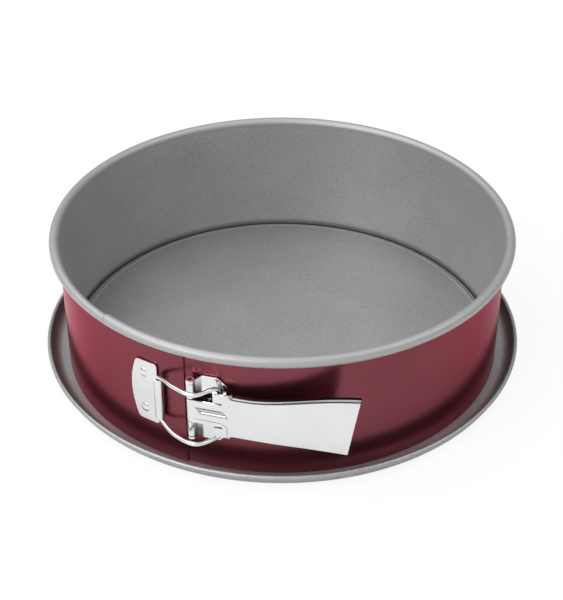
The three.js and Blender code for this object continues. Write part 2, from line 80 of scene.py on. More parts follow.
# Where the band's ends lap, and where it bends
UNDERLAP_ANGLE = -44.48
SEAM_ANGLE = -23.1
PAST_SEAM = SEAM_ANGLE + 4.0
LAP_OFFSET = 0.9
LAP_TOP = 68.5
LAP_BLEND_START = UNDERLAP_ANGLE - 42.8
LAP_BLEND_END = UNDERLAP_ANGLE - 2.25
NECK_START = UNDERLAP_ANGLE - 0.16
NEST_START = UNDERLAP_ANGLE - 0.14
NEST_END = UNDERLAP_ANGLE - 0.04
TONGUE_END = UNDERLAP_ANGLE + 4.2
TONGUE_STEP = 0.05
FLEX_ANGLE = 155.0
FLEX_HALF_ANGLE = 40.0

# Clasp, in a frame that is turned round the pan's axis and raised
CLASP_ANGLE = -25.0
CLASP_HEIGHT = 39.3
PLATE_SHEET = 1.0
PLATE_GAP = 0.3
PLATE_MIDDLE = 0.45
PIN = (9.0, -124.4)
PIN_RADIUS = 1.0
KNUCKLE_MID = 1.75
ANCHOR_ARC = -8.7
ANCHOR_AXIS_RADIUS = 124.15
ANCHOR_CURL_MID = 1.9
BRACKET_ARC = 13.8
WIRE_RADIUS = 1.15

# Lever, measured along it from the pin
LEVER_TILT = 8.8
LEVER_SHEET = 0.8
LEVER_MIDDLE = 0.75
LEVER_FRONT = -2.2
LEVER_NECK = 24.0
LEVER_LENGTH = 80.0
PANEL_EDGE = (-4.6, -4.0)
PANEL_DROP = 1.8
PANEL_DROP_ALONG = (15.0, 19.0)
GROOVE_MIDDLE = 1.15


def smooth_step(value, low, high):
    """Rises from 0 at low to 1 at high as 3t^2 - 2t^3."""
    share = np.clip((np.asarray(value, float) - low) / (high - low), 0.0, 1.0)
    return share * share * (3.0 - 2.0 * share)


def unit(vectors):
    """Vectors divided by their own lengths."""
    length = np.linalg.norm(vectors, axis=-1, keepdims=True)
    return vectors / np.maximum(length, SMALLEST_LENGTH)


def chords(points):
    """Distance run along a row of points, from chord to chord."""
    steps = np.linalg.norm(np.diff(points, axis=0), axis=-1)
    return np.concatenate([[0.0], np.cumsum(np.maximum(steps, SMALLEST_STEP))])


def edge_order(count):
    """Order of a slope at the ends of a row: second where the row has three points or more."""
    return 2 if count > 2 else 1


def arc(centre, radius, start, end, count):
    """Points centre + radius (cos a, sin a), for a from start to end in degrees."""
    angle = np.radians(np.linspace(start, end, count))
    return np.stack([centre[0] + radius * np.cos(angle), centre[1] + radius * np.sin(angle)], axis=-1)


def line(start, end, count):
    """Points evenly spaced on the straight line from start to end."""
    return np.linspace(np.asarray(start, float), np.asarray(end, float), count)


def joined(*runs):
    """Runs of points set end to end. A run's first point is left out where it repeats the last one."""
    parts = [runs[0]]
    for before, run in zip(runs, runs[1:]):
        parts.append(run[1:] if np.allclose(run[0], before[-1]) else run)
    return np.concatenate(parts)


def grid_normals(points, rows):
    """Cross product of the two slopes of a grid of points: one taken against the places of its rows,
    the other against distance run along its middle row."""
    across = chords(points[points.shape[0] // 2])
    slope_down = np.gradient(points, rows, axis=0, edge_order=edge_order(points.shape[0]))
    slope_across = np.gradient(points, across, axis=1, edge_order=edge_order(points.shape[1]))
    return unit(np.cross(slope_down, slope_across))


def grid_quads(index):
    """The four corners of each cell of a grid of point numbers."""
    return np.stack([index[:-1, :-1], index[1:, :-1], index[1:, 1:], index[:-1, 1:]], axis=-1)


def put_piece(name, mesh, material):
    """An object at the origin for a finished mesh, in its material."""
    mesh.materials.append(material)
    piece = bpy.data.objects.new(name, mesh)
    bpy.context.scene.collection.objects.link(piece)
    return piece


def put_mesh(name, patches, material):
    """One mesh from grids of points with their normals, welded wherever two points share a place."""
    points, normals, faces = [], [], []
    first = 0
    for place, normal in patches:
        rows, columns = place.shape[:2]
        index = first + np.arange(rows * columns).reshape(rows, columns)
        faces.append(grid_quads(index).reshape(-1, 4))
        points.append(place.reshape(-1, 3))
        normals.append(np.broadcast_to(normal, place.shape).reshape(-1, 3))
        first += rows * columns
    points = np.concatenate(points) * MM
    normals = np.concatenate(normals)
    corners = np.concatenate(faces)
    keys = np.floor(points * WELDS_PER_METRE + WELD_SHIFT).astype(np.int64)
    kept, welded = np.unique(keys, axis=0, return_index=True, return_inverse=True)[1:]
    welded = welded.reshape(-1)[corners]
    alive = welded != np.roll(welded, -1, axis=1)
    alive[alive.sum(axis=1) < 3] = False
    counts = alive.sum(axis=1)
    counts = counts[counts > 0]
    mesh = bpy.data.meshes.new(name)
    mesh.vertices.add(len(kept))
    mesh.vertices.foreach_set("co", points[kept].astype(np.float32).ravel())
    mesh.loops.add(int(counts.sum()))
    mesh.loops.foreach_set("vertex_index", welded[alive].astype(np.int32))
    mesh.polygons.add(len(counts))
    mesh.polygons.foreach_set("loop_start", (np.cumsum(counts) - counts).astype(np.int32))
    mesh.update(calc_edges=True)
    mesh.shade_smooth()
    mesh.normals_split_custom_set(normals[corners[alive]].tolist())
    return put_piece(name, mesh, material)


def point_places(mesh):
    """The places of a mesh's points, in metres."""
    places = np.empty(len(mesh.vertices) * 3, np.float32)
    mesh.vertices.foreach_get("co", places)
    return places.reshape(-1, 3)


def put_values(mesh, name, values):
    """One number for each point of a mesh, for its material to read."""
    values = np.ascontiguousarray(values, np.float32)
    mesh.attributes.new(name, "FLOAT", "POINT").data.foreach_set("value", values)


def keep_heights(piece):
    """Stores each point's height in metres, so that the painted shade at the foot and the crown stays in
    place where the piece is lifted or bent."""
    put_values(piece.data, "height", point_places(piece.data)[:, 2])
    return piece


def settle(piece, body, slot, *nodes):
    """A piece rides on its body and stands for the nodes that it replaces. Its slot is not used."""
    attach(piece, body)
    if nodes:
        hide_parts(*nodes)
    return piece


def round_the_axis(section, angles):
    """Section points (radius, height) carried to (r sin a, -r cos a, h) for every angle a from the -Y
    side."""
    turn = np.radians(angles)[:, None]
    radius = section[..., 0]
    height = np.broadcast_to(section[..., 1], radius.shape)
    shape = np.broadcast_shapes(turn.shape, radius.shape)
    parts = [radius * np.sin(turn), -radius * np.cos(turn), height]
    return np.stack([np.broadcast_to(part, shape) for part in parts], axis=-1)


def turned(runs, angles):
    """A closed profile, given as smooth runs of points, turned about the pan's axis. The normals are
    the profile's slope turned by a right angle, carried round with it."""
    turn = np.radians(angles)[:, None]
    patches = []
    for run in runs:
        slope = unit(np.gradient(run, chords(run), axis=0, edge_order=edge_order(len(run))))
        out, up = slope[:, 1], -slope[:, 0]
        level = np.broadcast_to(up, (len(angles), len(run)))
        normal = np.stack([out * np.sin(turn), -out * np.cos(turn), level], axis=-1)
        patches.append((round_the_axis(run, angles), normal))
    return patches


# Materials


def new_material(name):
    """A material with an empty tree but for its output and a Principled shader."""
    material = bpy.data.materials.new(name)
    material.use_nodes = True
    return material, material.node_tree, material.node_tree.nodes["Principled BSDF"]


def add(tree, kind, inputs=(), **settings):
    """A node with its settings, its input values and its links."""
    made = tree.nodes.new(kind)
    for key, value in settings.items():
        setattr(made, key, value)
    for key, value in dict(inputs).items():
        if isinstance(value, bpy.types.NodeSocket):
            tree.links.new(value, made.inputs[key])
        else:
            made.inputs[key].default_value = value
    return made


def place_on(tree):
    """The place of a point in its piece's own coordinates."""
    return add(tree, "ShaderNodeTexCoord").outputs["Object"]


def maths(tree, operation, *values):
    """The result of a Math node on one to three values."""
    return add(tree, "ShaderNodeMath", dict(enumerate(values)), operation=operation).outputs["Value"]


def mapped(tree, value, low, high, to_low, to_high, **settings):
    """A value carried from one range to another and held at its ends."""
    inputs = {"Value": value, "From Min": low, "From Max": high, "To Min": to_low, "To Max": to_high}
    return add(tree, "ShaderNodeMapRange", inputs, **settings).outputs["Result"]


def ramp(tree, factor, stops):
    """A colour ramp: pairs of a place and a colour."""
    made = add(tree, "ShaderNodeValToRGB", {"Fac": factor})
    elements = made.color_ramp.elements
    while len(elements) < len(stops):
        elements.new(0.5)
    for element, (place, colour) in zip(elements, stops):
        element.position = place
        element.color = (*colour, 1.0)
    return made.outputs["Color"]


def noise(tree, vector, scale, detail=3.0, roughness=0.5):
    """Fractal noise at a scale in turns per metre."""
    settings = {"Vector": vector, "Scale": scale, "Detail": detail, "Roughness": roughness}
    return add(tree, "ShaderNodeTexNoise", settings).outputs["Fac"]


def mixed(tree, share, colour, other):
    """A colour drawn towards another by a share."""
    return add(tree, "ShaderNodeMix", {"Factor": share, 6: colour, 7: other}, data_type="RGBA").outputs[2]


def toned(tree, share, colour, level):
    """A colour drawn towards a grey level by a share."""
    return mixed(tree, share, colour, (level, level, level, 1.0))


def faded(tree, value, start, end, strength):
    """A strength that fades smoothly from all at start to none at end, both in millimetres."""
    return mapped(tree, value, start * MM, end * MM, strength, 0.0, interpolation_type="SMOOTHSTEP")


def off_ring(tree, radius, middle):
    """How far a radius is from a ring's middle line, inwards or outwards."""
    return maths(tree, "ABSOLUTE", maths(tree, "SUBTRACT", radius, middle * MM))


def relief(tree, shader, height, strength, depth):
    """A fine relief of the surface, its depth in millimetres."""
    bump = add(tree, "ShaderNodeBump", {"Height": height, "Strength": strength, "Distance": depth * MM})
    tree.links.new(bump.outputs["Normal"], shader.inputs["Normal"])


def wine_enamel():
    """Wine-red metallic enamel: a tinted mirror with slow drifts of tone, fine flake and an orange-peel
    skin."""
    drift_scale, flake_scale, peel_scale, flake_share = 22.0, 5200.0, 620.0, 0.35
    deep_red, light_red = (0.152, 0.039, 0.050), (0.180, 0.047, 0.060)
    material, tree, shader = new_material("wine_enamel")
    place = place_on(tree)
    drift = noise(tree, place, drift_scale, 2.0)
    flake = noise(tree, place, flake_scale, 1.0)
    tone = maths(tree, "MULTIPLY_ADD", flake, flake_share, drift)
    tree.links.new(ramp(tree, tone, [(0.42, deep_red), (0.92, light_red)]), shader.inputs["Base Color"])
    relief(tree, shader, noise(tree, place, peel_scale, 2.0), 0.05, 0.4)
    shader.inputs["Roughness"].default_value = 0.26
    shader.inputs["Metallic"].default_value = 0.9
    shader.inputs["Specular Tint"].default_value = (1.0, 0.49, 0.55, 1.0)
    return material


def floor_rings(tree, place, colour, seam, crest):
    """The painted rings of the base plate: shade is painted on the seam between two radii, and
    highlights are painted on the crest of the shoulder and on the slope beside it."""
    # Painted shade on the seam, and painted highlights on the crest and on the slope beside it
    seam_shade_grey, seam_shade_share, highlight_grey, slope_step = 0.02, 0.8, 0.75, 2.0
    level_place = add(tree, "ShaderNodeVectorMath", {0: place, 1: (1.0, 1.0, 0.0)}, operation="MULTIPLY")
    length = add(tree, "ShaderNodeVectorMath", {0: level_place.outputs["Vector"]}, operation="LENGTH")
    radius = length.outputs["Value"]
    middle, half = sum(seam) / 2 * MM, (seam[1] - seam[0]) / 2 * MM
    seam_shade = maths(tree, "MULTIPLY", maths(tree, "COMPARE", radius, middle, half), seam_shade_share)
    colour = toned(tree, seam_shade, colour, seam_shade_grey)
    crest_highlight = faded(tree, off_ring(tree, radius, crest), 0.3, 1.2, 0.28)
    colour = toned(tree, crest_highlight, colour, highlight_grey)
    slope_highlight = faded(tree, off_ring(tree, radius, crest + slope_step), 1.3, 2.0, 0.36)
    return toned(tree, slope_highlight, colour, highlight_grey)


def wall_tones(tree, colour, foot, crown):
    """The tones of the band's inside, by the height that is stored in the mesh: shade painted along
    the seam fades out upwards from the foot, and the rim's crown, smoother in tone as its own finish
    and a painted shade darker, fades out downwards."""
    seam_shade_grey, crown_level = 0.02, 0.33
    height = add(tree, "ShaderNodeAttribute", attribute_name="height").outputs["Fac"]
    # Painted shade at the foot, and on the crown a smoother grey that is a painted shade darker
    colour = toned(tree, faded(tree, height, *foot, 0.66), colour, seam_shade_grey)
    return toned(tree, faded(tree, height, *crown, 0.75), colour, crown_level)


def non_stick(name, dark, light, roughness, metallic, seam=None, crest=None, foot=None, crown=None):
    """Satin grey non-stick coat: a fine sprayed speckle over slow drifts of tone, with a light grain. A
    plate has a seam, given by two radii, where shade is painted, and a crest, where highlights are
    painted. A band's inside has a foot, where shade is painted, and a crown, painted a shade darker,
    each a pair of heights."""
    speckle_scale, drift_scale, drift_share, coolness = 1100.0, 30.0, 0.25, 1.01
    glossier, duller = 0.05, 0.07
    material, tree, shader = new_material(name)
    place = place_on(tree)
    speckle = noise(tree, place, speckle_scale, 4.0, 0.65)
    drift = noise(tree, place, drift_scale, 2.0)
    tone = maths(tree, "MULTIPLY_ADD", drift, drift_share, speckle)
    cool = lambda level: (level, level * coolness, level * coolness)
    colour = ramp(tree, tone, [(0.40, cool(dark)), (0.85, cool(light))])
    if seam:
        colour = floor_rings(tree, place, colour, seam, crest)
    if foot:
        colour = wall_tones(tree, colour, foot, crown)
    tree.links.new(colour, shader.inputs["Base Color"])
    rough = mapped(tree, speckle, 0.0, 1.0, roughness - glossier, roughness + duller)
    tree.links.new(rough, shader.inputs["Roughness"])
    relief(tree, shader, speckle, 0.12, 0.2)
    shader.inputs["Metallic"].default_value = metallic
    return material


def bright_tin(name, stretch, roughness):
    """Bright plated steel: fine drawn lines along one direction in its gloss and relief, slow smears of
    tone, and painted shade and painted reflections where the mesh says so."""
    line_scale, smear_scale = 900.0, 60.0
    greyer, brighter, painted_shade_grey = (0.625,) * 3, (0.665,) * 3, (0.06, 0.062, 0.06, 1.0)
    glossier, duller = 0.03, 0.04
    material, tree, shader = new_material(name)
    place = place_on(tree)
    drawn = add(tree, "ShaderNodeMapping", {"Vector": place, "Scale": stretch}).outputs["Vector"]
    lines = noise(tree, drawn, line_scale, 3.0)
    bright = ramp(tree, noise(tree, place, smear_scale, 2.0), [(0.3, greyer), (0.7, brighter)])
    # Painted shade and painted reflections: a value stored in the mesh draws the colour towards a dark
    # grey
    painted_shade = add(tree, "ShaderNodeAttribute", attribute_name="painted_shade").outputs["Fac"]
    tree.links.new(mixed(tree, painted_shade, bright, painted_shade_grey), shader.inputs["Base Color"])
    rough = mapped(tree, lines, 0.0, 1.0, roughness - glossier, roughness + duller)
    tree.links.new(rough, shader.inputs["Roughness"])
    relief(tree, shader, lines, 0.02, 0.2)
    shader.inputs["Metallic"].default_value = 1.0
    return material


red = wine_enamel()
# The lining is painted in shade at its foot and on its crown; the plate is painted in shade at its seam
# and with highlights at its crest
grey_inside = non_stick("grey_lining", 0.29, 0.46, 0.50, 0.6, foot=(1.6, 5.6), crown=(72.6, 69.6))
grey_plate = non_stick("grey_plate", 0.28, 0.41, 0.46, 0.8, seam=(118.9, 120.4), crest=115.2)
tin_plate = bright_tin("tin_plate", (1.0, 1.0, 0.12), 0.17)
tin_wire = bright_tin("tin_wire", (1.0, 1.0, 1.0), 0.12)


# Base plate


def base_plate():
    """Profile: floor, smooth-step shoulder, channel, hollow wall (a quarter circle) and a rolled bead
    (a circle)."""
    floor_top, floor_under, channel_top, channel_edge = 2.2, 1.2, 1.0, 0.5
    first_ring, shoulder, shoulder_end = 12.0, 115.4, 118.8
    wall_centre, wall_radius = np.array([124.05, 7.5]), 6.5
    reach, bead_radius = 7.2, 1.19
    bead_centre = wall_centre + (reach, 0.0)
    outer_wall = wall_radius + channel_top

    def meet(wall):
        """Angles where a wall circle and the bead's circle cross below their middle line, by the cosine
        rule."""
        on_wall = (wall**2 + reach**2 - bead_radius**2) / (2 * wall * reach)
        on_bead = (bead_radius**2 + reach**2 - wall**2) / (2 * bead_radius * reach)
        return -math.degrees(math.acos(on_wall)), 180.0 + math.degrees(math.acos(on_bead))

    outer, inner = meet(outer_wall), meet(wall_radius)
    rings = np.concatenate([[0.0], np.linspace(first_ring, shoulder, 10)])
    slope = np.linspace(shoulder, shoulder_end, 13)[1:]
    fall = 1.0 - smooth_step(slope, shoulder, shoulder_end)
    channel_start = shoulder_end + channel_edge
    under = joined(
        np.stack([rings, np.full_like(rings, floor_under)], axis=-1),
        np.stack([slope, floor_under * fall], axis=-1),
        line((channel_start, 0.0), (wall_centre[0], 0.0), 4),
        arc(wall_centre, outer_wall, -90.0, outer[0], 18),
    )
    top = joined(
        arc(wall_centre, wall_radius, inner[0], -90.0, 18),
        line((wall_centre[0], channel_top), (channel_start, channel_top), 4),
        np.stack([slope, channel_top + (floor_top - channel_top) * fall], axis=-1)[::-1],
        np.stack([rings, np.full_like(rings, floor_top)], axis=-1)[::-1],
    )
    bead = arc(bead_centre, bead_radius, outer[1] - 360.0, inner[1], 30)
    angles = np.linspace(0.0, 360.0, 241)
    return put_mesh("base_plate_dish", turned([under, bead, top], angles), grey_plate)


settle(base_plate(), "base", "non_stick_grey", "base_plate")


# Band


def lap_share(angles):
    """How far the outer end of the band has moved out for the lap, from 0 to 1."""
    return smooth_step(angles, LAP_BLEND_START, LAP_BLEND_END)


def sheet_ring(outside, inside, angles):
    """A strip of sheet between two sides of equal length, each (angles, points, radius and height),
    carried round the axis. Its long edges and its two ends are closed."""
    turn = np.radians(angles)
    outer, inner = round_the_axis(outside, angles), round_the_axis(inside, angles)
    foot = np.stack([inner[:, 0], outer[:, 0]], axis=1)
    top = np.stack([outer[:, -1], inner[:, -1]], axis=1)
    patches = [(side, grid_normals(side, turn)) for side in (outer, inner[:, ::-1], foot, top)]
    start, end = np.stack([inner[0], outer[0]]), np.stack([outer[-1], inner[-1]])
    for face, angle, way in ((start, turn[0], -1.0), (end, turn[-1], 1.0)):
        patches.append((face, way * np.array([math.cos(angle), math.sin(angle), 0.0])))
    return patches


def wall_heights(top):
    """Rows of even height from the band's foot to a top, which may change along the band."""
    return BAND_FOOT + (top - BAND_FOOT) * np.linspace(0.0, 1.0, WALL_ROWS)


def wall_strip(name, angles, offset, top, near, far, material):
    """A coat of the wall: two cylinders at a near and a far depth, with the wall's own drift outwards,
    up to a top that may change along the band."""
    heights = wall_heights(np.broadcast_to(top, len(angles))[:, None])
    wall = WALL_INSIDE + offset[:, None] + np.zeros_like(heights)
    outside = np.stack([wall + far, heights], axis=-1)
    inside = np.stack([wall + near, heights], axis=-1)
    return put_mesh(name, sheet_ring(outside, inside, angles), material)


def skin_strip(name, angles, offset, top):
    """The red outer coat of the wall."""
    return wall_strip(name, angles, offset, top, LINING, SHEET, red)


def lining_strip(name, angles, offset, roll, sweep):
    """The grey inner half of the wall. At the top it leans out along a quarter of a tall oval to a
    crown, then rolls down outside along a second oval, through the given sweep."""
    wall, half = WALL_INSIDE + offset[:, None], roll[:, None]
    inside = 2.0 * CROWN_SHARE * half
    crown, shoulder = wall + inside, ROLL_CENTRE + half - RIM_SHOULDER
    heights = wall_heights(shoulder)
    lean = np.linspace(0.0, math.pi / 2, 13)[None, 1:]
    over = math.pi / 2 - np.radians(sweep[:, None] - 90.0) * np.linspace(0.0, 1.0, 25)[None, 1:]

    def side(depth, sheet):
        """One side of the sheet, the wall at a depth of its own and the ovals drawn in by the sheet."""
        radius = [wall + depth + 0.0 * heights, crown - (inside - sheet) * np.cos(lean),
                  crown + (2.0 * half - inside - sheet) * np.cos(over)]
        height = [heights, shoulder + (RIM_SHOULDER - sheet) * np.sin(lean),
                  ROLL_CENTRE + (half - sheet) * np.sin(over)]
        return np.stack([np.concatenate(radius, axis=1), np.concatenate(height, axis=1)], axis=-1)

    sheet = sheet_ring(side(LINING, SHEET), side(0.0, 0.0), angles)
    return keep_heights(put_mesh(name, sheet, grey_inside))


def span(start, end):
    """Angles from start to end in steps of about ANGLE_STEP."""
    return np.linspace(start, end, max(3, math.ceil((end - start) / ANGLE_STEP) + 1))


def right_end():
    """The end of the band that passes underneath. Its roll opens towards the lap."""
    flex_start = FLEX_ANGLE - FLEX_HALF_ANGLE
    angles = np.concatenate([span(UNDERLAP_ANGLE, PAST_SEAM), span(PAST_SEAM, flex_start)[1:]])
    flat, roll = np.zeros(len(angles)), np.full(len(angles), ROLL_RADIUS)
    closing = smooth_step(angles, SEAM_ANGLE, SEAM_ANGLE + ROLL_SWEEP_BLEND)
    sweep = ROLL_SWEEP_AT_LAP + (ROLL_SWEEP - ROLL_SWEEP_AT_LAP) * closing
    skin = skin_strip("band_skin_right", angles, flat, SKIN_TOP)
    settle(skin, "ring_right", "wine_red_enamel", "band_right")
    lining = lining_strip("band_lining_right", angles, flat, roll, sweep)
    settle(lining, "ring_right", "non_stick_grey")


def left_end():
    """The end of the band that laps over. It moves out for the lap, and its roll narrows, runs a little
    way into the other end's roll and stops. From there the wall is plain."""
    flex_end = FLEX_ANGLE + FLEX_HALF_ANGLE
    near = span(flex_end - 360.0, UNDERLAP_ANGLE - 2.0 * ANGLE_STEP)
    neck = [[UNDERLAP_ANGLE - ANGLE_STEP], np.linspace(NECK_START, UNDERLAP_ANGLE, 9)]
    rolled = np.concatenate([near, *neck, span(UNDERLAP_ANGLE, TONGUE_END)[1:]])
    lapped = span(TONGUE_END, SEAM_ANGLE)
    whole = np.concatenate([rolled, lapped[:1] + TONGUE_STEP, lapped[1:]])
    drift = lambda angles: LAP_OFFSET * lap_share(angles)
    roll = ROLL_RADIUS + (ROLL_RADIUS_AT_LAP - ROLL_RADIUS) * lap_share(rolled)
    nested = smooth_step(rolled, NEST_START, NEST_END)
    roll = roll + (ROLL_RADIUS_NESTED - ROLL_RADIUS_AT_LAP) * nested
    skin_top = np.where(whole > TONGUE_END, LAP_TOP, SKIN_TOP)
    skin = skin_strip("band_skin_left", whole, drift(whole), skin_top)
    settle(skin, "ring_left", "wine_red_enamel", "band_left")
    sweep = np.full(len(rolled), ROLL_SWEEP)
    lining = lining_strip("band_lining_left", rolled, drift(rolled), roll, sweep)
    settle(lining, "ring_left", "non_stick_grey")
    plain = wall_strip("band_lining_lap", lapped, drift(lapped), LAP_TOP, 0.0, LINING, grey_inside)
    settle(keep_heights(plain), "ring_left", "non_stick_grey")


def springy_back():
    """The back of the band, where the band bends from one half to the other along the line that touches
    it there. Its two coats are only built, with their transforms baked into their meshes."""
    angles = span(FLEX_ANGLE - FLEX_HALF_ANGLE, FLEX_ANGLE + FLEX_HALF_ANGLE)
    flat, roll = np.zeros(len(angles)), np.full(len(angles), ROLL_RADIUS)
    skin = skin_strip("band_skin_back", angles, flat, SKIN_TOP)
    lining = lining_strip("band_lining_back", angles, flat, roll, np.full(len(angles), ROLL_SWEEP))
    for piece, slot in ((skin, "wine_red_enamel"), (lining, "non_stick_grey")):
        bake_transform(piece)


right_end()
left_end()
springy_back()


# Clasp


def turn_plan(points, angle, about=(0.0, 0.0)):
    """Points turned in plan by an angle in degrees about the origin, then moved by a plan offset."""
    c, s = math.cos(math.radians(angle)), math.sin(math.radians(angle))
    x, y = points[..., 0], points[..., 1]
    plan = [about[0] + c * x - s * y, about[1] + s * x + c * y]
    return np.concatenate([np.stack(plan, axis=-1), points[..., 2:]], axis=-1)


def to_pan(points):
    """Clasp-frame points turned by the clasp's angle about the pan's axis and raised to the clasp's
    height."""
    return turn_plan(points, CLASP_ANGLE) + (0.0, 0.0, CLASP_HEIGHT)


def on_band(radius, arcs):
    """Plan points at a radius, at arc lengths measured on the band's outside from the clasp's
    middle."""
    angle = np.asarray(arcs) / OUTSIDE
    return np.stack([radius * np.sin(angle), -radius * np.cos(angle)], axis=-1)


def put_sheet(name, points, keep, thickness, tone, bevel=0.22):
    """A bent sheet of tin from a grid of middle points: cells left out by keep are holes or cut-outs,
    Solidify gives the thickness to both sides, and Bevel rounds the cut edges. The tone says where
    shade and reflections are painted on it."""
    rows, columns = points.shape[:2]
    quads = grid_quads(np.arange(rows * columns).reshape(rows, columns))[keep]
    used, faces = np.unique(quads, return_inverse=True)
    places = to_pan(points.reshape(-1, 3)[used]) * MM
    mesh = bpy.data.meshes.new(name)
    mesh.from_pydata(places.tolist(), [], faces.reshape(-1, 4).tolist())
    mesh.shade_smooth()
    # The tone is stored for the material as painted shade and painted reflections
    put_values(mesh, "painted_shade", tone.reshape(-1)[used])
    piece = put_piece(name, mesh, tin_plate)
    solid = piece.modifiers.new("thickness", "SOLIDIFY")
    solid.thickness = thickness * MM
    solid.offset = 0.0
    solid.use_even_offset = True
    round_edges = piece.modifiers.new("edges", "BEVEL")
    round_edges.width = bevel * MM
    round_edges.segments = 2
    round_edges.limit_method = "ANGLE"
    round_edges.angle_limit = math.radians(50.0)
    round_edges.harden_normals = True
    return piece


def corner(excess, radius):
    """How far a rounded corner has drawn back, at a distance past the corner's start: a quarter
    circle."""
    reach = np.clip(excess, 0.0, radius)
    return radius - np.sqrt(np.maximum(radius**2 - reach**2, 0.0))


def with_heights(plan, heights):
    """A grid of plan points with a height for each of its rows."""
    return np.concatenate([plan, np.broadcast_to(heights[:, None, None], plan.shape[:2] + (1,))], axis=-1)


def in_rows(run, rows):
    """A run of points repeated for every row of a grid."""
    return np.broadcast_to(run, (len(rows),) + run.shape)


def anchor_plate():
    """Grid: across the height, and along the band from a bowed edge to a curl of 280 degrees round the
    bail. Shade is painted on the sheet in the mouth of the curl and on the curl's end."""
    half, knuckle, shoulder, curl_sweep = 18.3, 12.0, ANCHOR_ARC - 1.8, 280.0
    bow, length, rounding = 3.8, 17.9, 1.6
    mouth_shade, curl_end_shade = 0.7, 0.5
    below, above = -np.linspace(half, knuckle, 15)[:-1], np.linspace(knuckle, half, 15)[1:]
    heights = np.concatenate([below, np.linspace(-knuckle, knuckle, 21), above])
    drawn = corner(np.abs(heights) - (half - rounding), rounding)
    left = ANCHOR_ARC - length + bow * (heights / half) ** 2 + drawn
    right = shoulder - drawn
    share = np.linspace(0.0, 1.0, 13)
    plate_arcs = left[:, None] + (right - left)[:, None] * share
    neck_arcs = in_rows(np.linspace(shoulder, ANCHOR_ARC, 4)[1:], heights)
    radius = OUTSIDE + LAP_OFFSET + PLATE_GAP + PLATE_MIDDLE
    flat = on_band(radius, np.concatenate([plate_arcs, neck_arcs], axis=1))
    axis = on_band(ANCHOR_AXIS_RADIUS, ANCHOR_ARC)
    facing = math.degrees(ANCHOR_ARC / OUTSIDE) + 90.0
    curl = arc(axis, ANCHOR_CURL_MID, facing, facing - curl_sweep, 25)[1:]
    plan = np.concatenate([flat, in_rows(curl, heights)], axis=1)
    columns = np.arange(plan.shape[1])
    middle = np.abs(heights[:-1] + heights[1:]) / 2
    keep = np.ones((len(heights) - 1, len(columns) - 1), bool)
    keep[np.ix_(middle > knuckle, columns[:-1] >= len(share) - 1)] = False
    mouth = (columns > len(share)) & (columns <= len(share) + 2)
    # Painted shade in the curl's mouth and on its end
    tone = in_rows(mouth_shade * mouth + curl_end_shade * (columns >= len(columns) - 2), heights)
    return put_sheet("anchor_plate_sheet", with_heights(plan, heights), keep, PLATE_SHEET, tone)


def hinge_bracket():
    """Grid: across the height, and along a foot on the band, a web to the pin and a curl of 285 degrees
    round it. The middle of the web and curl is left out for the lever's tongue. Shade is painted on
    the web, most of all lower down."""
    half, knuckle, window, chamfer = 19.2, 16.0, 7.3, 4.0
    foot_length, curl_sweep = 12.0, 285.0
    web_shade, deeper_shade, shade_start, shade_end = 0.35, 0.6, 1.0, 8.0
    straight, slanted = np.linspace(window, half - chamfer, 7), np.linspace(half - chamfer, half, 5)[1:]
    upper = np.concatenate([straight, slanted])
    heights = np.concatenate([-upper[::-1], np.linspace(-window, window, 9)[1:-1], upper])
    cut = np.clip(np.abs(heights) - (half - chamfer), 0.0, chamfer)
    end = BRACKET_ARC + foot_length - cut
    share = np.linspace(0.0, 1.0, 9)
    foot_arcs = end[:, None] + (BRACKET_ARC - end)[:, None] * share
    foot = on_band(OUTSIDE + PLATE_GAP + PLATE_MIDDLE, foot_arcs)
    bend = foot[0, -1]
    reach = np.array(PIN) - bend
    heading = math.degrees(math.atan2(reach[1], reach[0]))
    start = heading - math.degrees(math.asin(KNUCKLE_MID / np.linalg.norm(reach))) - 90.0
    curl = arc(PIN, KNUCKLE_MID, start, start + curl_sweep, 26)
    web = line(bend, curl[0], 7)[1:-1]
    plan = np.concatenate([foot, in_rows(np.concatenate([web, curl]), heights)], axis=1)
    columns = np.arange(plan.shape[1])
    top = np.interp(columns, [len(share) - 1, len(share) + 4], [half, knuckle])
    scale = (top - window) / (half - window)
    lift = np.abs(heights)[:, None]
    tall = np.where(lift > window, window + (lift - window) * scale, lift) * np.sign(heights)[:, None]
    points = np.concatenate([plan, tall[..., None]], axis=-1)
    middle = np.abs(heights[:-1] + heights[1:]) / 2
    keep = np.ones((len(heights) - 1, len(columns) - 1), bool)
    keep[np.ix_(middle < window, columns[:-1] >= len(share) - 1)] = False
    on_web = (columns >= len(share)) & (columns <= len(share) + len(web))
    below_top = np.where(heights > 0.0, half - heights, -window - heights)
    # Painted shade on the web, deepening downwards from its top edge and from the window
    shade = web_shade + deeper_shade * smooth_step(below_top, shade_start, shade_end)
    return put_sheet("hinge_bracket_sheet", points, keep, PLATE_SHEET, on_web * shade[:, None])


def lever_half_width(stations):
    """Half the lever's width: level at the neck, then a smooth-step flare to the grip."""
    neck, flare, flare_start, flare_end = 12.0, 5.2, 27.0, 90.0
    return neck + flare * smooth_step(stations, flare_start, flare_end)


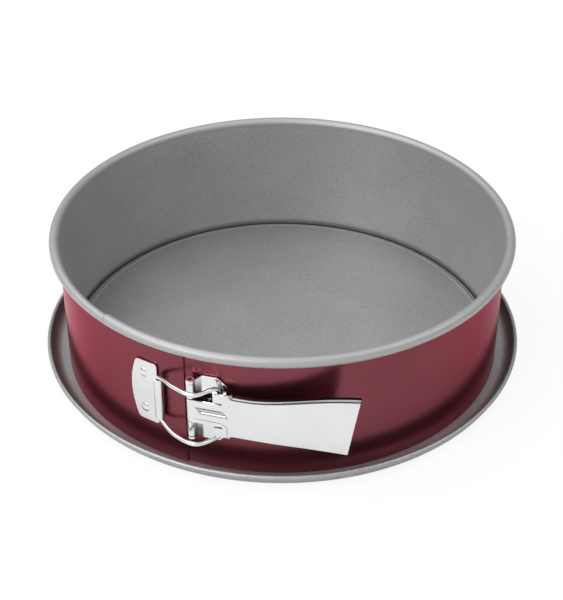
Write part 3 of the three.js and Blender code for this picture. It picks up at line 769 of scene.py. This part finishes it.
def lever_line(stations):
    """The lever's front line in plan and its slope there: straight past the ears, then a cubic Bezier
    line."""
    knots = np.array([[LEVER_NECK, LEVER_FRONT], [48.0, LEVER_FRONT], [54.2, 4.1], [85.8, 7.1]])
    share = np.linspace(0.0, 1.0, 200)[:, None]
    rest = 1 - share
    weights = [rest**3, 3 * share * rest**2, 3 * share**2 * rest, share**3]
    front = sum(weight * knot for weight, knot in zip(weights, knots))
    slope = unit(np.gradient(front, axis=0, edge_order=2))
    depth = np.interp(stations, front[:, 0], front[:, 1], left=LEVER_FRONT)
    ahead = [np.interp(stations, front[:, 0], slope[:, axis], left=1.0 - axis) for axis in (0, 1)]
    return np.stack([stations, depth], axis=-1), np.stack(ahead, axis=-1)


def groove_share(along, tall):
    """How far a point lies from the groove's middle line, and 1 inside the groove's slanted ends, 0
    outside."""
    slant, start, end = 0.8, (3.2, 4.6), (17.2, 18.6)
    slanted = along + slant * (tall - GROOVE_MIDDLE)
    return np.abs(tall - GROOVE_MIDDLE), smooth_step(slanted, *start) * (1.0 - smooth_step(slanted, *end))


def panel_level(along, tall):
    """Height as the pressed panel sees it: the panel's lower edge drops by a smooth step at its far
    end."""
    return tall + PANEL_DROP * smooth_step(along, *PANEL_DROP_ALONG)


def lever_relief(along, tall):
    """Pressed relief: root, grip and a panel on the tongue stand proud by a smooth step, with a groove
    in it."""
    proud, sunk, root, grip, groove_wall = 0.35, 0.8, (0.5, 3.5), (18.4, 19.2), (0.7, 2.1)
    panel = smooth_step(panel_level(along, tall), *PANEL_EDGE)
    raised = np.maximum(np.maximum(panel, smooth_step(along, *grip)), 1.0 - smooth_step(along, *root))
    away, window = groove_share(along, tall)
    return proud * raised - sunk * window * (1.0 - smooth_step(away, *groove_wall))


def lever_painted_shade(along, tall, run, folded):
    """Painted shade and painted reflections, from 0 to 1: shade in the groove, most of all on its two
    walls, on the panel's lower edge and in a crease where the lower ear meets the grip, and painted
    reflections on the returned edges just past the fold, dark with a lighter line on the upper edge."""
    # Painted shade in the groove, on the panel's edge and in the crease; painted reflections on the
    # returned edges
    groove_floor_shade, groove_wall_shade, panel_edge_shade, crease_shade, lower_edge_shade = 0.25, 0.72, 0.55, 0.4, 0.85
    upper_runs, upper_edge_reflection = [0.0, 0.04, 0.21, 0.27, 0.42, 0.50], [0.0, 0.95, 0.95, 0.68, 0.68, 0.95]
    grip_start, ear_top = 19.0, -6.0
    away, window = groove_share(along, tall)
    walls = smooth_step(away, 0.3, 0.9) * (1.0 - smooth_step(away, 1.6, 2.3))
    groove = window * (groove_floor_shade * (1.0 - smooth_step(away, 0.5, 1.2)) + groove_wall_shade * walls)
    off_rim = np.abs(panel_level(along, tall) - sum(PANEL_EDGE) / 2)
    rim = panel_edge_shade * (1.0 - smooth_step(off_rim, 0.1, 0.45))
    rim = rim * smooth_step(along, 2.4, 4.0) * (along < grip_start)
    off_crease = np.abs(along - grip_start)
    crease = crease_shade * (1.0 - smooth_step(off_crease, 0.1, 0.4)) * (tall < ear_top)
    lower = lower_edge_shade * smooth_step(run, 0.15, 0.4)
    edge = folded * np.where(tall > 0.0, np.interp(run, upper_runs, upper_edge_reflection), lower)
    return np.maximum(np.maximum(groove, rim), np.maximum(crease, edge))


def fold(run, angle, bow):
    """How far out and how deep a folded strip has come after a run: an arc of length bow turns through
    the angle, and the rest of the strip is straight."""
    radius = bow / angle
    turn = angle * np.minimum(run, bow) / bow
    rest = np.maximum(run - bow, 0.0)
    out = radius * np.sin(turn) + rest * np.cos(angle)
    return out, radius * (1.0 - np.cos(turn)) + rest * np.sin(angle)


def lever():
    """Grid in the lever's own frame: a curl round the pin, a straight tongue with slotted ears beside
    it, then the bent grip. The outer rows lie flat in the ears and fold towards the band along the
    grip."""
    tongue, slot_top, flat, ear = 6.9, 7.9, 11.4, 13.0
    ear_start, slot_end, ear_end, fold_end = 12.0, 16.4, 18.6, 22.4
    slant, bend, deep, least_fold = 5.6, 1.0, 2.6, 1e-3
    curl_start, curl_end, bevel = 20.0, 270.0, 0.14
    bow = bend * math.pi / 2
    above = np.array([slot_top, 9.0, 10.2, flat])
    face = np.concatenate([-above[::-1], np.linspace(-tongue, tongue, 57), above])
    share = np.linspace(0.0, 1.0, 22)[1:]
    level = np.concatenate([np.full(len(share), -flat), face, np.full(len(share), flat)])
    run = np.concatenate([share[::-1], np.zeros(len(face)), share])[:, None]
    stops = [0.0, ear_start, slot_end, ear_end, fold_end, LEVER_LENGTH]
    counts = [37, 14, 12, 17, 60]
    stations = joined(*[np.linspace(*part) for part in zip(stops, stops[1:], counts)])
    folded = smooth_step(stations, ear_end, fold_end)
    top = flat + folded * (lever_half_width(stations) - bend - flat)
    strip = (ear - flat) + folded * (bow + deep - bend - ear + flat)
    out, sink = fold(run * strip, np.maximum(folded * math.pi / 2, least_fold), bow)
    tall = level[:, None] / flat * top + np.sign(level)[:, None] * out
    pull = smooth_step(stations, LEVER_NECK, LEVER_LENGTH)
    along = stations + pull * slant * tall / (2.0 * lever_half_width(LEVER_LENGTH))
    plan, ahead = lever_line(along)
    inwards = np.stack([-ahead[..., 1], ahead[..., 0]], axis=-1)
    plan = plan + inwards * (sink + LEVER_MIDDLE - lever_relief(along, tall))[..., None]
    body = np.concatenate([plan, tall[..., None]], axis=-1)
    curl = arc((0.0, 0.0), KNUCKLE_MID, curl_start, curl_end, 24)[:-1]
    rolled = with_heights(in_rows(curl, level), level)
    points = turn_plan(np.concatenate([rolled, body], axis=1), LEVER_TILT, PIN)
    # Painted shade and painted reflections on the lever's body; none on the curl
    tone = [np.zeros((len(level), len(curl))), lever_painted_shade(along, tall, run, folded)]
    middle = np.abs(level[:-1] + level[1:]) / 2
    at = np.concatenate([np.full(len(curl), -1.0), (stations[:-1] + stations[1:]) / 2])
    keep = np.ones((len(middle), len(at)), bool)
    keep[np.ix_(middle > slot_top, at < ear_start)] = False
    keep[np.ix_((middle > tongue) & (middle < slot_top), at < slot_end)] = False
    return put_sheet("lever_sheet", points, keep, LEVER_SHEET, np.concatenate(tone, axis=1), bevel)


def spline(knots, per_span):
    """Catmull-Rom curve through the knots, with centripetal spacing, in whole arrays."""
    padded = np.concatenate([[2 * knots[0] - knots[1]], knots, [2 * knots[-1] - knots[-2]]])
    gaps = np.sqrt(np.linalg.norm(np.diff(padded, axis=0), axis=1))
    times = np.concatenate([[0.0], np.cumsum(gaps)])
    p = [padded[i:len(padded) - 3 + i][:, None] for i in range(4)]
    t = [times[i:len(times) - 3 + i][:, None, None] for i in range(4)]
    share = np.linspace(0.0, 1.0, per_span, endpoint=False)[None, :, None]
    now = t[1] + (t[2] - t[1]) * share
    mix = lambda a, b, ta, tb: (a * (tb - now) + b * (now - ta)) / (tb - ta)
    first = [mix(p[i], p[i + 1], t[i], t[i + 1]) for i in range(3)]
    second = [mix(first[i], first[i + 1], t[i], t[i + 2]) for i in range(2)]
    curve = mix(second[0], second[1], t[1], t[2])
    return np.concatenate([curve.reshape(-1, 3), knots[-1:]])


def bail_route():
    """The wire's middle line: a curve through the upper half's knots, given in plan and height, and
    through their mirror image below."""
    mouth, spread, hook_end, hook_bend = 12.3, 15.15, 8.4, 2.0
    pin, hook_place = np.array(PIN), np.array([14.2, 0.85])
    hook = turn_plan(hook_place, LEVER_TILT, PIN)
    axis = on_band(ANCHOR_AXIS_RADIUS, ANCHOR_ARC)
    bow = pin + (5.8, -7.2)
    rise = (axis + bow) / 2 + (0.0, -2.3)
    leave = axis + unit(rise - axis) * 4.0
    turn = hook + unit(bow - hook) * hook_bend
    upper = [
        (hook, hook_end), (hook, spread - hook_bend), (turn, spread), (bow, spread), (rise, spread),
        (leave, mouth + 2.0), (axis, mouth), (axis, mouth / 2),
    ]
    half = np.array([[*plan, height] for plan, height in upper])
    return spline(np.concatenate([half, half[::-1] * (1.0, 1.0, -1.0)]), 14)


def bail_wire():
    """A round section carried along a bent line, with rounded ends. The section turns as little as
    possible: its side direction goes from step to step, and each step takes the part along the line out
    of it."""
    route = bail_route()
    slope = unit(np.gradient(route, chords(route), axis=0, edge_order=2))
    sideways = np.empty_like(slope)
    side = unit(np.cross(slope[0], (1.0, 0.0, 0.0)))
    for i, ahead in enumerate(slope):
        side = unit(side - ahead * (side @ ahead))
        sideways[i] = side
    other = np.cross(slope, sideways)
    cap = np.linspace(0.0, math.pi / 2, 7)[:-1]
    last = len(route) - 1
    radius = np.concatenate([np.sin(cap), np.ones(len(route)), np.sin(cap)[::-1]]) * WIRE_RADIUS
    push = np.concatenate([-np.cos(cap), np.zeros(len(route)), np.cos(cap)[::-1]]) * WIRE_RADIUS
    pick = np.concatenate([np.zeros(len(cap), int), np.arange(len(route)), np.full(len(cap), last)])
    around = np.linspace(0.0, 2 * math.pi, 17)[None, :, None]
    ring = np.cos(around) * sideways[pick][:, None] + np.sin(around) * other[pick][:, None]
    ahead = slope[pick][:, None]
    points = route[pick][:, None] + ahead * push[:, None, None] + ring * radius[:, None, None]
    lean = np.where(radius < WIRE_RADIUS, push / WIRE_RADIUS, 0.0)[:, None, None]
    normal = turn_plan(unit(ring * np.sqrt(1.0 - lean**2) + ahead * lean), CLASP_ANGLE)
    return put_mesh("bail_wire_bend", [(to_pan(points)[:, ::-1], normal[:, ::-1])], tin_wire)


def stud(name, profile, centre, direction, up):
    """A turned profile of (radius, distance) about a line through centre: radius goes round it,
    distance along it."""
    angles = np.linspace(0.0, 360.0, 33)
    along, first = unit(np.asarray(direction, float)), unit(np.asarray(up, float))
    second = np.cross(along, first)
    carry = lambda a: a[..., :1] * first + a[..., 1:2] * second + a[..., 2:] * along
    patches = []
    for place, normal in turned(profile, angles):
        world = to_pan(np.asarray(centre, float) + carry(place))
        patches.append((world, turn_plan(carry(normal), CLASP_ANGLE)))
    return put_mesh(name, patches, tin_wire)


def rivets():
    """Each rivet: a shank and a low domed head, a part of a sphere, pointing out of the band."""
    shank, head, tail, seat_lift, sunk = 1.2, 2.499, 0.15, 1.25, 0.02
    dome_radius, dome_depth, dome_start = 3.92, 3.02, 50.4
    for plate, arcs, lift, offset, body in (
        ("anchor", ANCHOR_ARC - 10.1, 10.9, LAP_OFFSET, "ring_left"),
        ("bracket", BRACKET_ARC + 6.2, 4.5, 0.0, "ring_right"),
    ):
        angle = arcs / OUTSIDE
        out = (math.sin(angle), -math.cos(angle), 0.0)
        wall, seat = WALL_INSIDE + offset + tail, OUTSIDE + offset + seat_lift
        under = seat - sunk
        dome = arc((0.0, seat - dome_depth), dome_radius, dome_start, 90.0, 12)
        stops = [(0.0, wall), (shank, wall), (shank, under), (head, under), dome[0]]
        profile = [line(start, end, 2) for start, end in zip(stops, stops[1:])] + [dome]
        for place, way in (("top", 1.0), ("bottom", -1.0)):
            name = f"{plate}_rivet_{place}"
            piece = stud(f"{name}_dome", profile, (0.0, 0.0, way * lift), out, (0.0, 0.0, 1.0))
            settle(piece, body, "bright_tin", name)


def hinge_pin():
    """A straight pin with a hollow head at each end, turned about its own line. Shade is painted in the
    hollows."""
    seat, end, head, dimple, depth, edge = 16.3, 18.0, 2.3, 1.35, 1.3, 0.35
    hollow_shade, margin = 0.95, 0.1
    upper = [
        line((PIN_RADIUS, 0.0), (PIN_RADIUS, seat), 2),
        line((PIN_RADIUS, seat), (head, seat), 2),
        line((head, seat), (head, end - edge), 2),
        arc((head - edge, end - edge), edge, 0.0, 90.0, 5),
        line((head - edge, end), (dimple, end), 2),
        line((dimple, end), (dimple, end - depth), 2),
        line((dimple, end - depth), (0.0, end - depth), 2),
    ]
    lower = [run[::-1] * (1.0, -1.0) for run in upper[::-1]]
    centre = np.array([*PIN, 0.0])
    piece = stud("hinge_pin_turned", lower + upper, centre, (0.0, 0.0, 1.0), (1.0, 0.0, 0.0))
    off_centre = point_places(piece.data) / MM - to_pan(centre)
    away = np.linalg.norm(off_centre[:, :2], axis=1)
    deep = (away < dimple + margin) & (np.abs(off_centre[:, 2]) < end - margin)
    # Painted shade in the hollows
    put_values(piece.data, "painted_shade", hollow_shade * deep)
    return piece


settle(anchor_plate(), "ring_left", "bright_tin", "anchor_plate")
settle(hinge_bracket(), "ring_right", "bright_tin", "hinge_bracket")
settle(hinge_pin(), "ring_right", "bright_tin", "hinge_pin")
settle(lever(), "lever", "bright_tin", "lever")
settle(bail_wire(), "bail", "bright_tin", "bail_wire")
rivets()


# Camera, table and light, in metres

IMAGE_HEIGHT = 600
IMAGE_SHIFT = -0.83
FOCAL_PIXELS = 1379.0
SENSOR = 36.0
CAMERA_PLACE = (0.0, -0.6403, 0.4630)
CAMERA_DOWN = 34.48


def camera():
    """The photograph's view: it looks at a point on the axis, 23.27 mm above the table, from 776.7 mm
    away."""
    data = bpy.data.cameras.new("camera")
    data.sensor_fit = "VERTICAL"
    data.sensor_height = SENSOR
    data.lens = FOCAL_PIXELS / IMAGE_HEIGHT * SENSOR
    data.shift_x = IMAGE_SHIFT / IMAGE_HEIGHT
    data.clip_end = 20.0
    made = bpy.data.objects.new("camera", data)
    made.location = CAMERA_PLACE
    made.rotation_euler = (math.radians(90.0 - CAMERA_DOWN), 0.0, 0.0)
    bpy.context.scene.collection.objects.link(made)
    bpy.context.scene.camera = made


def table():
    """A wide pale table: the eye sees it nearly white with a faint shadow, and reflections see it as it
    is lit."""
    side, eye_share, pale, white = 6.0, 0.88, (0.86, 0.86, 0.86, 1.0), (1.0, 1.0, 1.0, 1.0)
    mesh = bpy.data.meshes.new("table")
    corners = [(-side, -side, 0.0), (side, -side, 0.0), (side, side, 0.0), (-side, side, 0.0)]
    mesh.from_pydata(corners, [], [(0, 1, 2, 3)])
    material, tree, shader = new_material("table_white")
    shader.inputs["Base Color"].default_value = pale
    shader.inputs["Roughness"].default_value = 0.9
    shader.inputs["Specular IOR Level"].default_value = 0.0
    eye = add(tree, "ShaderNodeLightPath").outputs["Is Camera Ray"]
    share = maths(tree, "MULTIPLY", eye, eye_share)
    glow = add(tree, "ShaderNodeEmission", {"Color": white, "Strength": 1.0}).outputs["Emission"]
    both = add(tree, "ShaderNodeMixShader", {0: share, 1: shader.outputs["BSDF"], 2: glow})
    tree.links.new(both.outputs["Shader"], tree.nodes["Material Output"].inputs["Surface"])
    put_piece("table", mesh, material)


def lamp(name, place, aim, size, watts):
    """A rectangular soft box that faces a point."""
    data = bpy.data.lights.new(name, "AREA")
    data.shape = "RECTANGLE"
    data.size, data.size_y = size
    data.energy = watts
    made = bpy.data.objects.new(name, data)
    heading = unit(np.asarray(aim, float) - np.asarray(place, float))
    around = math.atan2(heading[1], heading[0]) - math.pi / 2
    made.location = place
    made.rotation_euler = (math.acos(-heading[2]), 0.0, around)
    bpy.context.scene.collection.objects.link(made)


def surroundings():
    """A white room to the eye. In reflections it is dimmer near the horizon and brighter to the front,
    and it lights everything else softly."""
    soft_light, horizon, overhead, front_glow = 0.66, 0.25, 0.85, 0.45
    world = bpy.data.worlds.new("room")
    world.use_nodes = True
    tree = world.node_tree
    back = tree.nodes["Background"]
    back.inputs["Color"].default_value = (1.0, 1.0, 1.0, 1.0)
    path = add(tree, "ShaderNodeLightPath").outputs
    heading = add(tree, "ShaderNodeTexCoord").outputs["Generated"]
    parts = add(tree, "ShaderNodeSeparateXYZ", {"Vector": heading}).outputs
    sky = mapped(tree, parts["Z"], 0.0, 0.9, horizon, overhead)
    front = mapped(tree, parts["Y"], -1.0, 0.0, front_glow, 0.0)
    seen = {"Factor": path["Is Glossy Ray"], "A": soft_light, "B": maths(tree, "ADD", sky, front)}
    light = add(tree, "ShaderNodeMix", seen).outputs["Result"]
    level = add(tree, "ShaderNodeMix", {"Factor": path["Is Camera Ray"], "A": light, "B": 1.0})
    tree.links.new(level.outputs["Result"], back.inputs["Strength"])
    bpy.context.scene.world = world


camera()
table()
lamp("key_box", (-0.85, 0.25, 1.35), (0.0, 0.0, 0.03), (1.5, 1.5), 13.0)
lamp("side_box", (0.90, -0.10, 1.30), (0.35, 0.1, 0.0), (0.7, 0.7), 5.0)
lamp("fill_box", (-0.90, -0.95, 1.05), (0.0, 0.0, 0.03), (1.0, 0.8), 13.5)
surroundings()
bpy.context.scene.view_settings.view_transform = "Standard"
